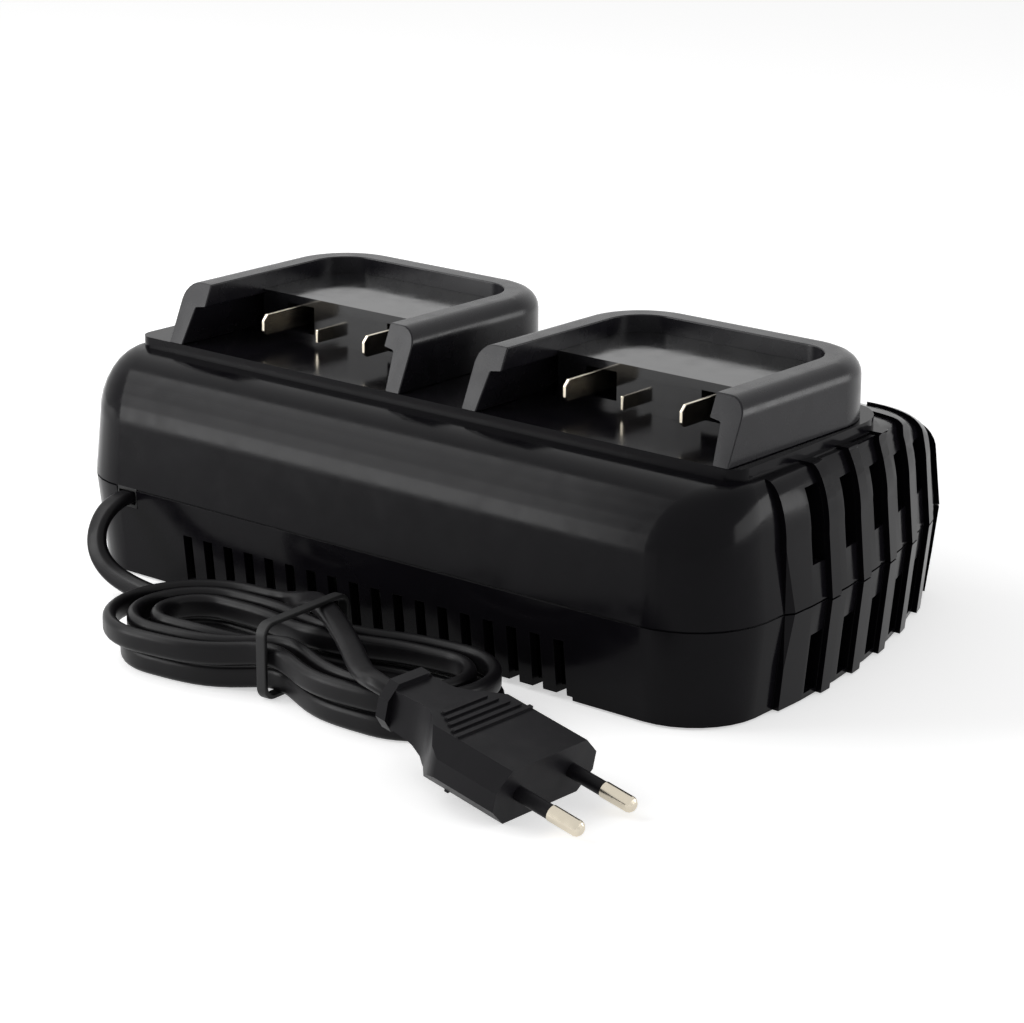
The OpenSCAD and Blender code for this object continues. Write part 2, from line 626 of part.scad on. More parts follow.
hank_gap = min([for (i = [0:len(hank_path) - 1], j = [i + 9:1:len(hank_path) - 2])
  seg_gap(hank_path[i], hank_path[j], hank_path[j + 1])]);

// Free stretch from the clamp through the bushing to the hank
lead_y = front_y + 23;
lead_points = [
  [0, 0, exit_z], [0, -10, exit_z], [0, -20, exit_z], [0, -26, 22.7], [0.2, -31, 20.5], [0.8, -34.5, 16.8],
  [2.2, -36.2, 12.6], [5, -36.8, 9], [9.5, -36.8, 6.2], [16, -36.6, 4.4], [24, -36.4, 3.4],
  [32, -36.2, layer_1]];
lead_route = concat([for (p = lead_points) [exit_x + p[0], lead_y + p[1], p[2]]],
  [to_world([-hank_run - 2 * cord_w, hank_r, layer_1]), to_world([-hank_run - cord_w, hank_r, layer_1])]);
lead_wide = [
  [1, 0, 0], [1, 0, 0], [1, 0, 0], [1, 0, 0], [1, 0, 0], [0.95, 0.1, 0.3], [0.8, 0.2, 0.5], [0.5, 0.2, 0.8],
  [0.25, 0.15, 0.95], [0.1, 0.1, 1], [0, 0, 1], [0, 0, 1], [0, 0, 1], [0, 0, 1]];
// Free stretch from the hank over the tied waist to the plug
tail_local = [
  [cord_w - hank_run, hank_end, layer_2], [2 * cord_w - hank_run, hank_end, layer_2 + 0.5],
  [-16, 19.5, 13], [-8.5, 15, 15.7], [0, 9, 17], [8, 3, 17.1], [16, -3.5, 17], [24, -10.5, 16.9],
  [31.5, -17.5, 17.1], [38.5, -23.6, 17.7]];
tail_wide_local = [
  [0, 0, 1], [0, 0, 1], [0.1, 0.6, 0.8], [0.3, 0.9, 0.4], [0.4, 0.9, 0.1],
  [0.5, 0.8, 0], [0.55, 0.8, 0], [0.6, 0.75, 0], [0.6, 0.75, 0], [0.5, 0.85, 0]];
plug_turn = -0.5;
plug_tilt = 12.5;
plug_at = [106.8, front_y - 54.8, plug_h / 2 * cos(plug_tilt) + 0.1];
plug_dir = [cos(plug_tilt) * cos(plug_turn), cos(plug_tilt) * sin(plug_turn), -sin(plug_tilt)];
plug_side = [-sin(plug_turn), cos(plug_turn), 0];
plug_back = plug_at - plug_l * plug_dir;
tail_route = concat([for (p = tail_local) to_world(p)], [plug_back - 8 * plug_dir, plug_back]);
tail_wide = concat([for (v = tail_wide_local) turned(v)], [plug_side, plug_side]);
module cord_lead() {
  color(plastic) sweep(run(lead_route, 3), run(lead_wide, 3), wide8(cord_w, cord_t));
}
module cord_hank() {
  color(plastic) sweep(hank_path, [for (p = hank_path) [0, 0, 1]], wide6(cord_w, cord_t));
}
module cord_tail() {
  color(plastic) sweep(run(tail_route, 3), run(tail_wide, 3), wide8(cord_w, cord_t));
}
echo(lead_mm = path_length(run(lead_route, 3)), hank_mm = path_length(hank_path),
  tail_mm = path_length(run(tail_route, 3)), hank_gap = hank_gap);
module ring_2d(w, z0, z1, r) {
  polygon(concat(arc([w - r, z0 + r], r, -90, 0, 6), arc([w - r, z1 - r], r, 0, 90, 6),
    arc([r - w, z1 - r], r, 90, 180, 6), arc([r - w, z0 + r], r, 180, 270, 6)));
}
tie_in = hank_r - hank_waist + cord_t / 2 + 0.6;
tie_top = 19;
module cord_tie() {
  color([0.03, 0.03, 0.03]) translate(hank_at) rotate([0, 0, hank_turn]) rotate([90, 0, 90])
    translate([0, 0, -tie_w / 2]) linear_extrude(tie_w) difference() {
      ring_2d(tie_in + tie_t, 0.05, tie_top + tie_t, 3.5);
      ring_2d(tie_in, 0.05 + tie_t, tie_top, 2.6);
    }
}
module cord_bushing() {
  w = exit_w - 2 * fit;
  color([0.06, 0.06, 0.06]) difference() {
    union() {
      translate([exit_x - w / 2, bushing_y - 5.6, exit_z - exit_h / 2 + fit])
        cube([w, bushing_l, exit_h - 2 * fit]);
      translate([exit_x - w / 2 - 1.2, bushing_y + 1.4, exit_z - exit_h / 2 - 1])
        cube([w + 2.4, 2, exit_h + 2]);
    }
    translate([exit_x - cord_w / 2 - fit, bushing_y - 8, exit_z - cord_t / 2 - fit])
      cube([cord_w + 2 * fit, bushing_l + 6, cord_t + 2 * fit]);
  }
}
module cord_clamp() {
  color([0.2, 0.2, 0.2]) difference() {
    translate([clamp_x0 + 0.4, clamp_y0, exit_z - cord_t / 2]) cube([clamp_w - 0.8, clamp_l, cord_t + 3]);
    translate([exit_x - cord_w / 2 - fit, clamp_y0 - 1, exit_z - cord_t])
      cube([20, clamp_l + 2, cord_t * 1.5 + fit]);
  }
}
pcb_x0 = pcb_x - pcb_w / 2;
wire_y0 = lead_y + 18;
module mains_wires() {
  color([0.3, 0.4, 0.8]) for (s = [-1, 1]) let (c = run([
    [exit_x + s * 1.4, lead_y, exit_z], [exit_x + s * 1.4, lead_y + 6, exit_z],
    [exit_x + 4 + s, lead_y + 13 - s, 20.5],
    [pcb_x0 + s, wire_y0 - 1 - s * 1.4, 18.5], [pcb_x0 + 4 + s * 1.5, wire_y0 - s * 1.4, 16.9],
    [pcb_x0 + 4.6 + s * 1.8, wire_y0 - s * 1.4, 15.2],
    [pcb_x0 + 4.6 + s * 1.8, wire_y0 - s * 1.4, pcb_top + 0.15]], 3))
    sweep(c, [for (p = c) [0.1, 1, 0]], round8(2));
}

// ---- plug ----
module in_plug() { translate(plug_at) rotate([0, 0, plug_turn]) rotate([0, plug_tilt, 0]) children(); }
hw = plug_w / 2;
hh = plug_h / 2;
neck_w = 6.4;
neck_h = 5;
module both_ways(p) {
  polygon(concat(p, [for (i = [len(p) - 1:-1:0]) [p[i][0], -p[i][1]]]));
}
module plug_body() {
  color(plastic) in_plug() difference() {
    union() {
      intersection() {
        translate([0, 0, -20]) linear_extrude(40) both_ways([
          [-plug_l + 2, neck_w], [-plug_l * 0.76, neck_w + 0.3], [-plug_l * 0.68, 7.8], [-plug_l * 0.61, 10],
          [-plug_l * 0.54, 13.2], [-plug_l * 0.47, 16.2], [-plug_l * 0.4, hw], [0, hw]]);
        rotate([90, 0, 0]) translate([0, 0, -30]) linear_extrude(60) both_ways([[-plug_l + 2, neck_h],
          [-plug_l * 0.8, neck_h + 0.3], [-plug_l * 0.63, hh], [0, hh]]);
        rotate([90, 0, 90]) translate([0, 0, -plug_l]) linear_extrude(plug_l)
          both_ways([[-hw, 2.4], [-hw + 4.6, hh], [hw - 4.6, hh], [hw, 2.4]]);
      }
      rotate([90, 0, 90]) translate([0, 0, -plug_l]) linear_extrude(3)
        both_ways([[-8.4, 2.6], [-5.4, 6.4], [5.4, 6.4], [8.4, 2.6]]);
      for (i = [0:4], s = [-1, 1]) translate([-plug_l * 0.6 + i * 2.3, -7.5 - i * 1.4, s * (hh + 0.1) - 0.5])
        cube([1.1, 15 + 2.8 * i, 1]);
    }
    for (y = [-1, 1]) translate([-6, y * pin_gap / 2, 0]) along_x()
      cylinder(d = sleeve_d, h = 8, $fn = 32);
  }
}
module plug_sleeves() {
  color([0.07, 0.07, 0.07]) in_plug() for (y = [-1, 1])
    translate([-6, y * pin_gap / 2, 0]) along_x() difference() {
      cylinder(d = sleeve_d, h = 6 + sleeve_l, $fn = 32);
      translate([0, 0, -1]) cylinder(d = sleeve_d - 1, h = 8 + sleeve_l, $fn = 32);
    }
}
module plug_pins() {
  color(metal) in_plug() for (y = [-1, 1]) translate([0, y * pin_gap / 2, 0]) along_x()
    rotate_extrude($fn = 40) polygon([
      [0, -6], [sleeve_d / 2 - 0.5, -6], [sleeve_d / 2 - 0.5, sleeve_l], [pin_d / 2, sleeve_l],
      [pin_d / 2, pin_l - 1.4], [pin_d / 2 - 0.25, pin_l - 0.7], [pin_d / 2 - 0.8, pin_l - 0.15],
      [pin_d / 2 - 1.3, pin_l], [0, pin_l]]);
}

upper_shell();
lower_shell();
left_dock();
right_dock();
left_terminal_block();
right_terminal_block();
left_power_blades();
right_power_blades();
left_signal_blade();
right_signal_blade();
status_lights();
housing_screws();
rubber_feet();
main_pcb();
pcb_screws();
transformer_core();
transformer_winding();
heat_sinks();
bulk_capacitors();
mains_choke();
mains_fuse();
contact_wires();
fan_frame();
fan_rotor();
cord_bushing();
cord_clamp();
mains_wires();
cord_lead();
cord_hank();
cord_tail();
cord_tie();
plug_body();
plug_sleeves();
plug_pins();
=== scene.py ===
import math
import bpy
from mathutils import Matrix, Vector


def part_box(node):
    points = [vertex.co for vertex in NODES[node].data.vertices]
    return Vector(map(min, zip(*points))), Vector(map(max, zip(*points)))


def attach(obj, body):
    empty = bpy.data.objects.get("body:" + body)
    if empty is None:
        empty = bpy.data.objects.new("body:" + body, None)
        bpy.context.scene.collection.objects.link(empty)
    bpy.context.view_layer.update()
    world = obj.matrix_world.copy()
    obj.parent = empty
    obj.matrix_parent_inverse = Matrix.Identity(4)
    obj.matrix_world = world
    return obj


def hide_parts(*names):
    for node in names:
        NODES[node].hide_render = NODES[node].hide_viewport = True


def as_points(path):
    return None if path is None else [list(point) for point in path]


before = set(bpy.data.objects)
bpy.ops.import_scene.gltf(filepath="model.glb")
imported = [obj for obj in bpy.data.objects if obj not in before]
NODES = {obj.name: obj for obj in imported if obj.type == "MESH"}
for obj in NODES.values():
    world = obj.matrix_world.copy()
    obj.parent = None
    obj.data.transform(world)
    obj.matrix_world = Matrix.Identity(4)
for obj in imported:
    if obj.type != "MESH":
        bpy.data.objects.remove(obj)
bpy.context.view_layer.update()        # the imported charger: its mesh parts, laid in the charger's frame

bl_info = {
    "name": "Two-bay battery charger",
    "version": (1, 0, 0),
    "blender": (4, 5, 0),
    "location": "View3D > Sidebar > Charger",
    "description": "Finishes, cord and studio for a two-bay battery charger",
    "category": "Object",
}

MM = 0.001


def middle(name):
    """Middle of a part's box."""
    low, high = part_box(name)
    return (low + high) / 2


# ---- colour and node helpers ----

def srgb(code):
    """Linear red, green and blue of an sRGB hex colour."""
    parts = [int(code[i:i + 2], 16) / 255 for i in (1, 3, 5)]
    return [p / 12.92 if p <= 0.04045 else ((p + 0.055) / 1.055) ** 2.4 for p in parts]


def opaque(colour):
    """The colour with an alpha of one, as the shader's sockets take it."""
    return (*tuple(colour)[:3], 1.0)


def add(tree, kind, inputs=None, **settings):
    """Adds a node with its settings; an input that is given a socket is linked, any other is set."""
    new = tree.nodes.new(kind)
    for name, value in settings.items():
        setattr(new, name, value)
    for name, value in (inputs or {}).items():
        if isinstance(value, bpy.types.NodeSocket):
            tree.links.new(value, new.inputs[name])
        else:
            new.inputs[name].default_value = value
    return new


class Finish:
    """A material under way: its node tree, its surface shader and the part's own coordinates."""

    def __init__(self, name, colour, roughness, **sockets):
        self.material = bpy.data.materials.new(name)
        self.material.use_nodes = True
        self.tree = self.material.node_tree
        self.tree.nodes.clear()
        self.shader = self.add("ShaderNodeBsdfPrincipled", {
            "Base Color": opaque(colour), "Roughness": roughness, **sockets})
        self.add("ShaderNodeOutputMaterial", {"Surface": self.shader.outputs[0]})
        self.place = self.add("ShaderNodeTexCoord").outputs["Object"]
        self.height = None

    def add(self, kind, inputs=None, **settings):
        return add(self.tree, kind, inputs, **settings)

    def math(self, operation, a, b=0.0):
        """Result of a sum or product of two values."""
        return self.add("ShaderNodeMath", {0: a, 1: b}, operation=operation).outputs[0]

    def noise(self, grain_mm, detail=2.0, stretch=(1, 1, 1)):
        """Random pattern whose lumps are that many millimetres across."""
        place = self.add("ShaderNodeMapping", {"Vector": self.place, "Scale": stretch}).outputs[0]
        return self.add("ShaderNodeTexNoise", {
            "Vector": place, "Scale": 1 / (grain_mm * MM), "Detail": detail}).outputs["Fac"]

    def vary_roughness(self, pattern, low, high):
        """Roughness from low to high as the pattern rises."""
        spread = self.add("ShaderNodeMapRange", {
            "Value": pattern, "From Min": 0.3, "From Max": 0.7, "To Min": low, "To Max": high})
        self.tree.links.new(spread.outputs[0], self.shader.inputs["Roughness"])

    def vary_colour(self, pattern, first, second):
        """Colour from the first to the second as the pattern rises."""
        mix = self.add("ShaderNodeMix", {"Factor": pattern}, data_type="RGBA")
        mix.inputs[6].default_value = opaque(first)
        mix.inputs[7].default_value = opaque(second)
        self.tree.links.new(mix.outputs[2], self.shader.inputs["Base Color"])

    def bump(self, pattern, depth_mm):
        """Relief of that depth, laid over any relief already there."""
        inputs = {"Height": pattern, "Distance": depth_mm * MM, "Strength": 1.0}
        if self.height:
            inputs["Normal"] = self.height
        self.height = self.add("ShaderNodeBump", inputs).outputs[0]
        self.tree.links.new(self.height, self.shader.inputs["Normal"])

    def between(self, axis, low, high):
        """One where the part's coordinate on that axis lies between two values, else nought."""
        value = self.add("ShaderNodeSeparateXYZ", {"Vector": self.place}).outputs[axis]
        above = self.math("GREATER_THAN", value, low)
        return self.math("MULTIPLY", above, self.math("LESS_THAN", value, high))


# ---- finishes ----

def moulded_plastic(name, colour, gloss, grain_mm, depth_mm, specular, wave_mm=0.0):
    """Injection-moulded plastic: a fine mould grain, a slow drift of gloss and, on big walls, faint sink."""
    f = Finish(name, colour, gloss, **{"Specular IOR Level": specular})
    f.vary_colour(f.noise(9, 3), [c * 0.82 for c in colour], [c * 1.25 for c in colour])
    f.vary_roughness(f.noise(6, 4), gloss - 0.04, gloss + 0.05)
    f.bump(f.noise(grain_mm, 2), depth_mm)
    if wave_mm:
        f.bump(f.noise(22, 1), wave_mm)
    return f.material


def nickel_plate(colour):
    """Stamped brass strip, nickel plated: a warm, fine-brushed shine with dull patches from handling."""
    f = Finish("nickel_plated_brass", colour, 0.22, Metallic=1.0)
    f.vary_colour(f.noise(6, 2), [c * 0.92 for c in colour], colour)
    f.vary_roughness(f.noise(3, 2), 0.17, 0.26)
    f.bump(f.noise(0.6, 1, stretch=(1, 0.12, 2)), 0.001)
    return f.material


def zinc_steel(colour):
    """Zinc-plated screw steel: a cool blotchy passivated shine."""
    f = Finish("zinc_plated_steel", colour, 0.34, Metallic=1.0)
    f.vary_colour(f.noise(1.5, 3), [c * 0.8 for c in colour], colour)
    f.vary_roughness(f.noise(0.8, 3), 0.26, 0.45)
    f.bump(f.noise(0.4, 2), 0.01)
    return f.material


def moulded_rubber(colour):
    """Die-cut rubber: dull, dusty and open-grained."""
    f = Finish("sheet_rubber", colour, 0.8, **{"Specular IOR Level": 0.25})
    f.vary_colour(f.noise(3, 3), colour, [c * 1.7 for c in colour])
    f.vary_roughness(f.noise(2, 2), 0.72, 0.9)
    f.bump(f.noise(0.3, 3), 0.03)
    return f.material


def clear_polycarbonate(colour):
    """Moulded light guide: water-clear with a pale green cast and a faintly wavy end."""
    f = Finish("clear_polycarbonate", colour, 0.12, **{"Transmission Weight": 0.7, "IOR": 1.585})
    f.vary_roughness(f.noise(1.5, 2), 0.08, 0.2)
    f.bump(f.noise(2.5, 1), 0.02)
    return f.material


def solder_mask(colour, copper):
    """Glass-epoxy board under green solder mask: copper tracks show as lighter lines, pads as dots."""
    f = Finish("solder_masked_glass_epoxy", colour, 0.35)
    tracks = f.add("ShaderNodeTexBrick", {
        "Vector": f.place, "Scale": 1 / (7 * MM), "Mortar Size": 0.09, "Mortar Smooth": 0.1,
        "Brick Width": 1.6, "Row Height": 0.42}, offset=0.37, offset_frequency=3).outputs["Fac"]
    pads = f.add("ShaderNodeTexVoronoi", {"Vector": f.place, "Scale": 1 / (6 * MM)}).outputs["Distance"]
    dots = f.math("LESS_THAN", pads, 0.13)
    f.vary_colour(f.math("MAXIMUM", tracks, dots), colour, copper)
    f.vary_roughness(f.noise(1.5, 3), 0.28, 0.42)
    f.bump(tracks, 0.04)
    return f.material


def sintered_ferrite(colour):
    """Pressed and sintered ferrite: dark grey, dry and finely pitted."""
    f = Finish("sintered_ferrite", colour, 0.62)
    f.vary_colour(f.noise(1.4, 4), [c * 0.7 for c in colour], [c * 1.4 for c in colour])
    f.vary_roughness(f.noise(3, 3), 0.55, 0.75)
    f.bump(f.noise(0.35, 3), 0.03)
    return f.material


def winding_tape(colour):
    """Polyester tape wound over the coil: glossy yellow, in turns that overlap every few millimetres."""
    f = Finish("polyester_tape", colour, 0.3)
    laps = f.add("ShaderNodeTexWave", {
        "Vector": f.place, "Scale": 1 / (20 * MM), "Distortion": 1.2, "Detail": 1.0},
        wave_type="BANDS", bands_direction="Z", wave_profile="SAW").outputs["Fac"]
    f.vary_colour(laps, [c * 0.75 for c in colour], colour)
    f.vary_roughness(f.noise(4, 3), 0.2, 0.42)
    f.bump(laps, 0.1)
    return f.material


def extruded_aluminium(colour):
    """Extruded aluminium, as it comes off the press: a satin grey with fine lines along the run."""
    f = Finish("extruded_aluminium", colour, 0.38, Metallic=1.0)
    f.vary_colour(f.noise(5, 3), [c * 0.85 for c in colour], colour)
    f.vary_roughness(f.noise(1.6, 3), 0.3, 0.48)
    f.bump(f.noise(0.5, 2, stretch=(1, 0.05, 1)), 0.02)
    return f.material


def capacitor_sleeve(colour, stripe):
    """Shrunk film sleeve on a can: glossy dark blue with a pale polarity stripe down one side."""
    f = Finish("shrunk_polyester_sleeve", colour, 0.25)
    side = middle("bulk_capacitors").x + 6.5 * MM
    f.vary_colour(f.between(0, side, side + 0.02), colour, stripe)
    f.vary_roughness(f.noise(4, 2), 0.2, 0.32)
    f.bump(f.noise(6, 2), 0.05)
    return f.material


def enamelled_winding(colour):
    """Enamelled copper wire wound round a ring core: some forty turns, each a raised rib, with painted shade
    darkening the grooves between them.
    """
    f = Finish("enamelled_copper_winding", colour, 0.3, Metallic=1.0)
    shifted = f.add("ShaderNodeVectorMath", {0: f.place, 1: middle("mains_choke")}, operation="SUBTRACT")
    parts = f.add("ShaderNodeSeparateXYZ", {"Vector": shifted.outputs[0]}).outputs
    angle = f.math("ARCTAN2", parts[0], parts[2])
    turn_count = 40.0
    turns = f.math("SINE", f.math("MULTIPLY", angle, turn_count))
    turn_ribs_and_painted_groove_shade = f.math("ADD", f.math("MULTIPLY", turns, 0.5), 0.5)
    # painted shade: the copper is darkened to a third of its colour in the grooves between turns and kept full
    # on each rib's crest
    f.vary_colour(turn_ribs_and_painted_groove_shade, [c * 0.3 for c in colour], colour)
    f.vary_roughness(f.noise(1, 2), 0.22, 0.36)
    f.bump(turn_ribs_and_painted_groove_shade, 0.4)
    return f.material


def fuse_glass(colour, cap):
    """Glass tube fuse: greenish clear glass between two bright end caps."""
    f = Finish("fuse_glass_and_caps", colour, 0.08)
    low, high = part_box("mains_fuse")
    cap_length = 5 * MM
    glass = f.between(1, low.y + cap_length, high.y - cap_length)
    f.vary_colour(glass, cap, colour)
    f.vary_roughness(f.noise(1, 2), 0.05, 0.25)
    f.bump(f.noise(1.5, 2), 0.02)
    return f.material


def wire_insulation(name, colour):
    """Extruded PVC on stranded wire: soft gloss, with the strands' lay just telling."""
    f = Finish(name, colour, 0.42)
    f.vary_colour(f.noise(3, 2), [c * 0.85 for c in colour], colour)
    f.vary_roughness(f.noise(2, 2), 0.36, 0.5)
    f.bump(f.noise(0.8, 1), 0.03)
    return f.material


# ---- shaping helpers ----

def set_material(piece, material):
    """Gives the piece this one material."""
    piece.data.materials.clear()
    piece.data.materials.append(material)


def dress(names, material, edge_mm=0.0, crease_degrees=32):
    """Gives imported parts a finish, smooth shading between creases and, where asked, softly rounded edges."""
    crease = math.radians(crease_degrees)
    for name in names:
        part = NODES[name]
        set_material(part, material)
        part.data.polygons.foreach_set("use_smooth", [True] * len(part.data.polygons))
        part.data.set_sharp_from_angle(angle=crease)
        if edge_mm:
            weld = part.modifiers.new("join_corners", "WELD")
            weld.merge_threshold = 0.002 * MM
            flat = part.modifiers.new("flat_faces", "DECIMATE")
            flat.decimate_type = "DISSOLVE"
            flat.angle_limit = math.radians(0.4)
            edge = part.modifiers.new("rounded_edges", "BEVEL")
            edge.width = edge_mm * MM
            edge.segments = 2
            edge.limit_method = "ANGLE"
            edge.angle_limit = crease
            edge.miter_outer = "MITER_ARC"
            edge.harden_normals = False
            even = part.modifiers.new("even_shading", "WEIGHTED_NORMAL")
            even.keep_sharp = True


def new_piece(name, points, faces, material, body):
    """A mesh piece in the charger's frame, smooth shaded, that rides on a body."""
    mesh = bpy.data.meshes.new(name)
    mesh.from_pydata([tuple(p) for p in points], [], faces)
    mesh.validate()
    mesh.polygons.foreach_set("use_smooth", [True] * len(mesh.polygons))
    piece = bpy.data.objects.new(name, mesh)
    bpy.context.scene.collection.objects.link(piece)
    set_material(piece, material)
    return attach(piece, body)


def spline(points, steps):
    """A smooth run through the points, with that many steps from each to the next."""
    last = len(points) - 1
    curve = []
    for i in range(last):
        a, b, c, d = (Vector(points[j]) for j in (max(i - 1, 0), i, i + 1, min(i + 2, last)))
        for k in range(steps):
            t = k / steps
            curve.append(0.5 * (2 * b + (c - a) * t + (2 * a - 5 * b + 4 * c - d) * t * t
                                + (3 * b - a - 3 * c + d) * t ** 3))
    return curve + [Vector(points[last])]


def smooth_step(t):
    """Eases from nought to one."""
    t = max(0.0, min(1.0, t))
    return t * t * (3 - 2 * t)


# ---- the cord's route, in millimetres ----

FRONT_Y = -69                   # front wall of the housing
EXIT = Vector((-87, FRONT_Y + 0.4, 23.1))
LEAD_Y = -46                    # where the lead's points count from, inside the housing
HANK_AT = Vector((8, -99, 0))
HANK_TURN = math.radians(4)
LOOPS = 5                       # in two layers: inwards on the table, outwards above
STEP = 4.3                      # from one loop to the next in the lower layer; the upper's lie wider
RUN = 36                        # half of the straight run between the rounded ends
END_R = 21                      # radius at the start of the first loop
WAIST = 7.8                     # how far the tie draws each side in
WAIST_SPREAD = 15               # how far along the hank that drawing in reaches
OUTWARD = 0.45                  # how far past the first loop the upper layer ends, in steps
LAYER_1 = 3.1                   # height of the lower layer's centreline
LAYER_2 = 9.8                   # height of the upper layer's centreline
HUMP = 1.4                      # how far the tie lifts the strands
HUMP_SPREAD = 10                # how far along the hank that lift reaches
PLUG_AT = Vector((106.8, -123.8, 6.788))
PLUG_LENGTH = 45
PLUG_TILT = math.radians(12.5)
PLUG_TURN = math.radians(-0.5)
LEAD = [(0, 0, 23.1), (0, -10, 23.1), (0, -20, 23.1), (0, -26, 22.7), (0.2, -31, 20.5), (0.8, -34.5, 16.8),
        (2.2, -36.2, 12.6), (5, -36.8, 9), (9.5, -36.8, 6.2), (16, -36.6, 4.4), (24, -36.4, 3.4),
        (32, -36.2, LAYER_1)]
LEAD_WIDE = [(1, 0, 0)] * 5 + [(0.95, 0.1, 0.3), (0.8, 0.2, 0.5), (0.5, 0.2, 0.8), (0.25, 0.15, 0.95),
                               (0.1, 0.1, 1)] + [(0, 0, 1)] * 4
TAIL = [(-30, 22.935, LAYER_2), (-24, 22.935, 10.3), (-16, 19.5, 13), (-8.5, 15, 15.7), (0, 9, 17),
        (8, 3, 17.1), (16, -3.5, 17), (24, -10.5, 16.9), (31.5, -17.5, 17.1), (38.5, -23.6, 17.7)]
TAIL_WIDE = [(0, 0, 1), (0, 0, 1), (0.1, 0.6, 0.8), (0.3, 0.9, 0.4), (0.4, 0.9, 0.1), (0.5, 0.8, 0),
             (0.55, 0.8, 0), (0.6, 0.75, 0), (0.6, 0.75, 0), (0.5, 0.85, 0)]


def turned(p):
    """A direction of the hank, turned as the hank lies."""
    return Matrix.Rotation(HANK_TURN, 3, "Z") @ Vector(p)


def hank_place(p):
    """A point of the hank, in the charger's frame."""
    return HANK_AT + turned(p)


def hank_point(s):
    """Point of the hank after s loops: spiralling in along the table, then out again one layer up."""
    half = LOOPS // 2 + 0.5
    turn = half + 0.25
    k = s if s < turn else turn - (turn + OUTWARD) * (s - turn) / (LOOPS - turn)
    r = END_R - STEP * k
    u = s % 1
    q = u * 4 % 1
    bend = math.pi * q
    if u < 0.25:
        x, y = 2 * RUN * q - RUN, r
    elif u < 0.5:
        x, y = RUN + r * math.sin(bend), r * math.cos(bend)
    elif u < 0.75:
        x, y = RUN - 2 * RUN * q, -r
    else:
        x, y = -RUN - r * math.sin(bend), -r * math.cos(bend)
    y -= math.copysign(WAIST * math.exp(-(x / WAIST_SPREAD) ** 2), y)
    climb = (LAYER_2 - LAYER_1) * smooth_step((s - half - 0.03) * 5)
    return x, y, LAYER_1 + climb + HUMP * math.exp(-(x / HUMP_SPREAD) ** 2)


def cord_route():
    """The cord's centreline and the way its wide side faces, from the exit to the plug, in metres."""
    along = Vector((math.cos(PLUG_TILT) * math.cos(PLUG_TURN), math.cos(PLUG_TILT) * math.sin(PLUG_TURN),
                    -math.sin(PLUG_TILT)))
    across = (-math.sin(PLUG_TURN), math.cos(PLUG_TURN), 0)
    plug_back = PLUG_AT - PLUG_LENGTH * along
    fine = 10
    lead = [Vector((EXIT.x, LEAD_Y, 0)) + Vector(p) for p in LEAD]
    lead += [hank_place((-RUN - 12, END_R, LAYER_1)), hank_place((-RUN - 6, END_R, LAYER_1))]
    points = spline(lead, fine)[2 * fine:]
    sides = spline(LEAD_WIDE, fine)[2 * fine:]
    loop_steps = 96
    for i in range(loop_steps * LOOPS + 1):
        points.append(hank_place(hank_point(i / loop_steps)))
        sides.append(Vector((0, 0, 1)))
    tail = [hank_place(p) for p in TAIL] + [plug_back - 8 * along, plug_back]
    points += spline(tail, fine)
    sides += spline([turned(p) for p in TAIL_WIDE] + [across, across], fine)
    return [p * MM for p in points], sides


def flat_section(width, thickness, arc_steps=9):
    """Outline of a flat cord: two half rounds joined by straight sides."""
    r = thickness / 2
    outline = []
    for side in (1, -1):
        for k in range(arc_steps + 1):
            a = math.pi * (k / arc_steps - 0.5)
            outline.append((side * (width / 2 - r + r * math.cos(a)), side * r * math.sin(a)))
    return outline


def swept(path, sides, outline):
    """Points and faces of the outline swept along the path, closed at both ends."""
    last = len(path) - 1
    count = len(outline)
    points = []
    for i, centre in enumerate(path):
        ahead = (path[min(i + 1, last)] - path[max(i - 1, 0)]).normalized()
        wide = (sides[i] - sides[i].dot(ahead) * ahead).normalized()
        thick = ahead.cross(wide)
        points += [centre + x * wide + y * thick for x, y in outline]
    faces = [tuple(range(count - 1, -1, -1)), tuple(last * count + k for k in range(count))]
    for i in range(last):
        for k in range(count):
            j = (k + 1) % count
            faces.append((i * count + k, i * count + j, (i + 1) * count + j, (i + 1) * count + k))
    return points, faces


# ---- sizes and colours that a user would change ----

def length(name, description, default_mm):
    """A length property, given in millimetres."""
    return bpy.props.FloatProperty(
        name=name, description=description, default=default_mm * MM, subtype="DISTANCE", unit="LENGTH",
        precision=5)


def colour(name, description, code):
    """A colour property, given as sRGB hex."""
    return bpy.props.FloatVectorProperty(
        name=name, description=description, default=srgb(code), subtype="COLOR", size=3, min=0, max=1)


class ChargerSizes(bpy.types.PropertyGroup):
    cord_width: length("Cord width", "Width of the flat cord", 6)
    cord_thickness: length("Cord thickness", "Thickness of the flat cord", 3.4)
    cord_length: length("Cord length", "Length of the cord from its exit to the plug", 1418)
    shell_edge: bpy.props.FloatProperty(
        name="Shell edge", description="Rounding of the moulded edges, in millimetres", default=0.35)
    metal_edge: bpy.props.FloatProperty(
        name="Metal edge", description="Rounding of the stamped edges, in millimetres", default=0.12)


class ChargerColours(bpy.types.PropertyGroup):
    housing: colour("Housing", "Black ABS of the two shells", "#0c0b0e")
    dock: colour("Docks", "Black ABS of the bay collars", "#121115")
    block: colour("Terminal blocks", "Black polyester of the terminal blocks", "#101012")
    contact: colour("Contacts", "Nickel plate on blades and pins", "#d8cfbd")
    cord: colour("Cord", "Black PVC of the cord", "#0d0c0e")
    plug: colour("Plug", "Black PVC of the plug", "#100f12")
    tie: colour("Tie", "Black coating of the tie", "#0f0f10")
    rubber: colour("Feet", "Black rubber of the feet", "#151515")
    steel: colour("Screws", "Zinc plate on the screws", "#b9bcc0")
    board: colour("Board", "Green mask of the circuit board", "#14512f")
    track: colour("Tracks", "Masked copper of the circuit board", "#2c7a45")
    light: colour("Lights", "Clear guides of the status lights", "#dcefe2")


